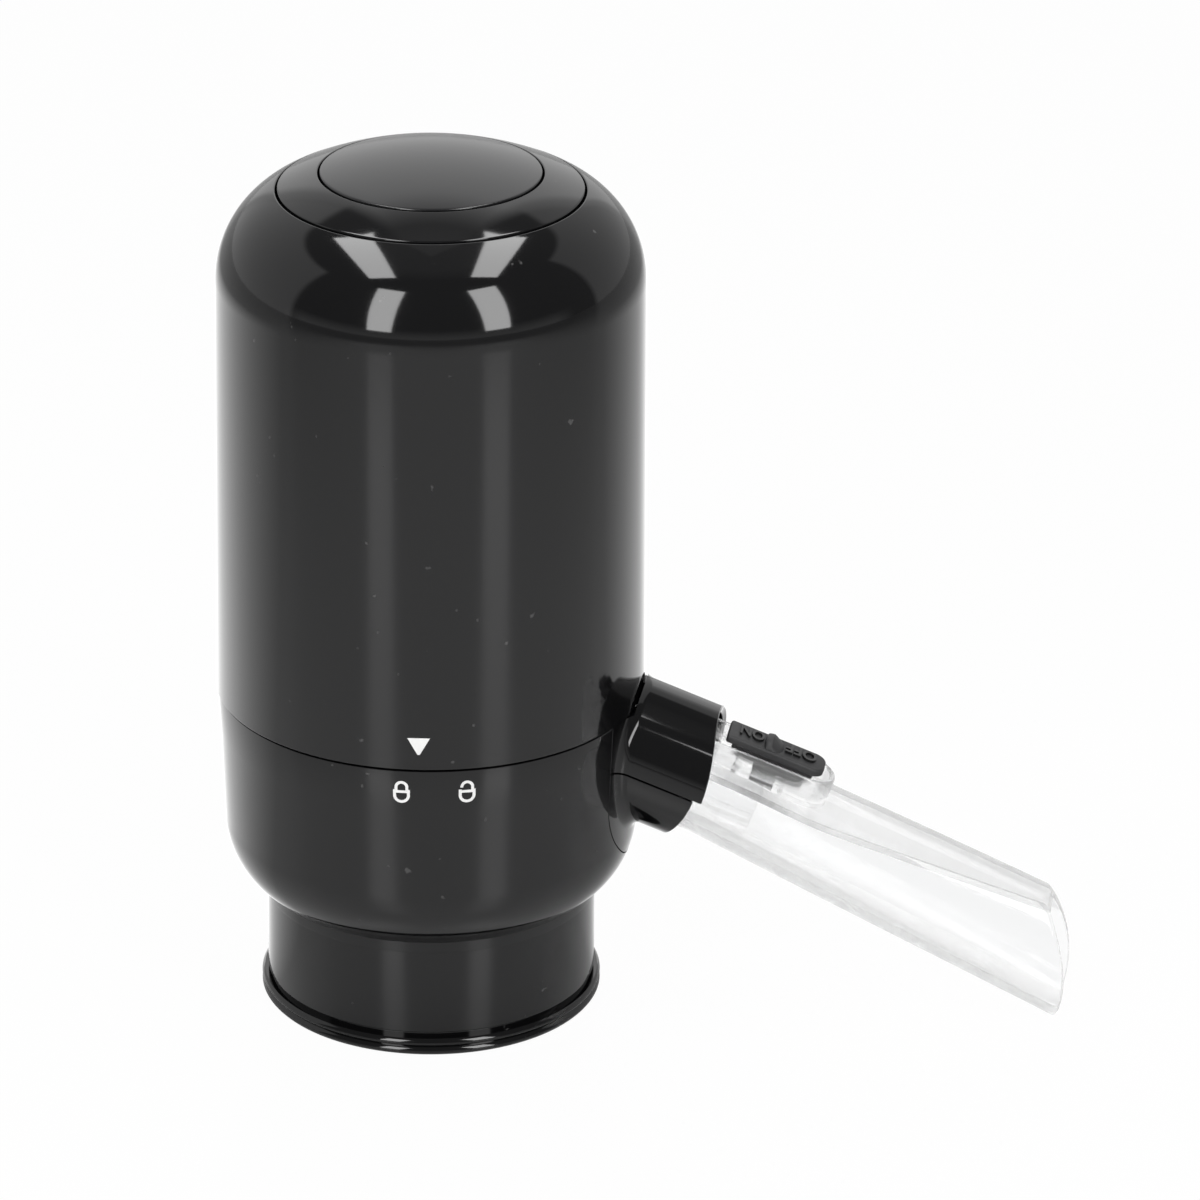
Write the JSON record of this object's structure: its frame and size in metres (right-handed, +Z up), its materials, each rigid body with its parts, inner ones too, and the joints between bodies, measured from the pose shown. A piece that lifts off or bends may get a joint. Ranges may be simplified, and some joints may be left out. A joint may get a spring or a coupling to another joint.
{
  "type": "electric wine aerator",
  "caption": "Upright round electric wine aerator with a push-button top, a twist-locked pump head, a bottle collar and a clear down-sloping spout with a sliding valve.",
  "frame": {"origin": "on the body's axis, in the plane of the lip ring's underside, at the centre of the bottle's mouth plane", "axes": "+Z up along the body's axis, +X towards the pouring spout"},
  "size_m": [0.1033, 0.0516, 0.107],
  "materials": {
    "gloss_black": "high gloss black ABS",
    "button_black": "black with a fine brushed-satin sheen",
    "clear_plastic": "clear moulded plastic",
    "soft_black": "soft-touch matte",
    "slider_grey": "grey moulded plastic",
    "inner_black": "plain black moulding",
    "seal_rubber": "food-grade silicone",
    "white_plastic": "white moulded plastic",
    "steel": "plated steel",
    "brass": "bare contact strip",
    "board": "green solder mask",
    "cell_wrap": "printed shrink sleeve, plain blue"
  },
  "bodies": {
    "base": {"lower_housing": "gloss_black", "neck_sleeve": "gloss_black", "lip_ring": "gloss_black", "manifold": "inner_black", "bottle_seal": "seal_rubber", "intake_nozzle": "white_plastic", "lock_ring": "inner_black", "lock_ring_screw_1": "steel", "lock_ring_screw_2": "steel", "lock_ring_screw_3": "steel", "air_seal": "seal_rubber", "wine_hose": "white_plastic", "spout_hood": "gloss_black", "spout_cradle": "gloss_black", "spout_tube": "clear_plastic", "spout_insert": "clear_plastic"},
    "slider": {"slider_button": "soft_black", "slider_carrier": "slider_grey"},
    "head": {"upper_housing": "gloss_black", "top_ring": "gloss_black", "button_spring": "steel", "button_guide": "inner_black", "circuit_board": "board", "switch_body": "inner_black", "cell_cage": "inner_black", "cell_plate_lower": "inner_black", "cell_plate_upper": "inner_black", "cell_1": "cell_wrap", "cell_2": "cell_wrap", "cell_3": "cell_wrap", "cell_4": "cell_wrap", "contact_spring_1": "steel", "contact_spring_2": "steel", "contact_spring_3": "steel", "contact_spring_4": "steel", "contact_strip_lower_1": "brass", "contact_strip_lower_2": "brass", "contact_strip_upper_1": "brass", "contact_strip_upper_2": "brass", "motor_can": "steel", "motor_lead_1": "seal_rubber", "motor_lead_2": "seal_rubber", "crank_housing": "inner_black", "diaphragm": "seal_rubber", "valve_cover": "inner_black", "air_tube": "white_plastic", "lock_plate": "inner_black", "head_screw_1": "steel", "head_screw_2": "steel"},
    "button": {"button_cap": "button_black", "switch_plunger": "white_plastic"},
    "rotor": {"motor_shaft": "steel", "eccentric": "white_plastic"}
  },
  "joints": [
    {"name": "housing_twist", "type": "hinge", "parent": "base", "child": "head", "pos_m": [0, 0, 0.04], "axis": [0, 0, 1], "range_deg": [-4.6, 12.8]},
    {"name": "button_press", "type": "slide", "parent": "head", "child": "button", "axis": [0, 0, -1], "range_m": [0, 0.0012], "stiffness_N_per_m": 1200, "springref_m": -0.0005, "deforming": ["button_spring"]},
    {"name": "motor_spin", "type": "hinge", "parent": "head", "child": "rotor", "pos_m": [0, 0, 0.06], "axis": [0, 0, 1], "continuous": true},
    {"name": "valve_slide", "type": "slide", "parent": "base", "child": "slider", "axis": [-0.9397, 0, 0.342], "range_m": [0, 0.0018]}
  ]
}
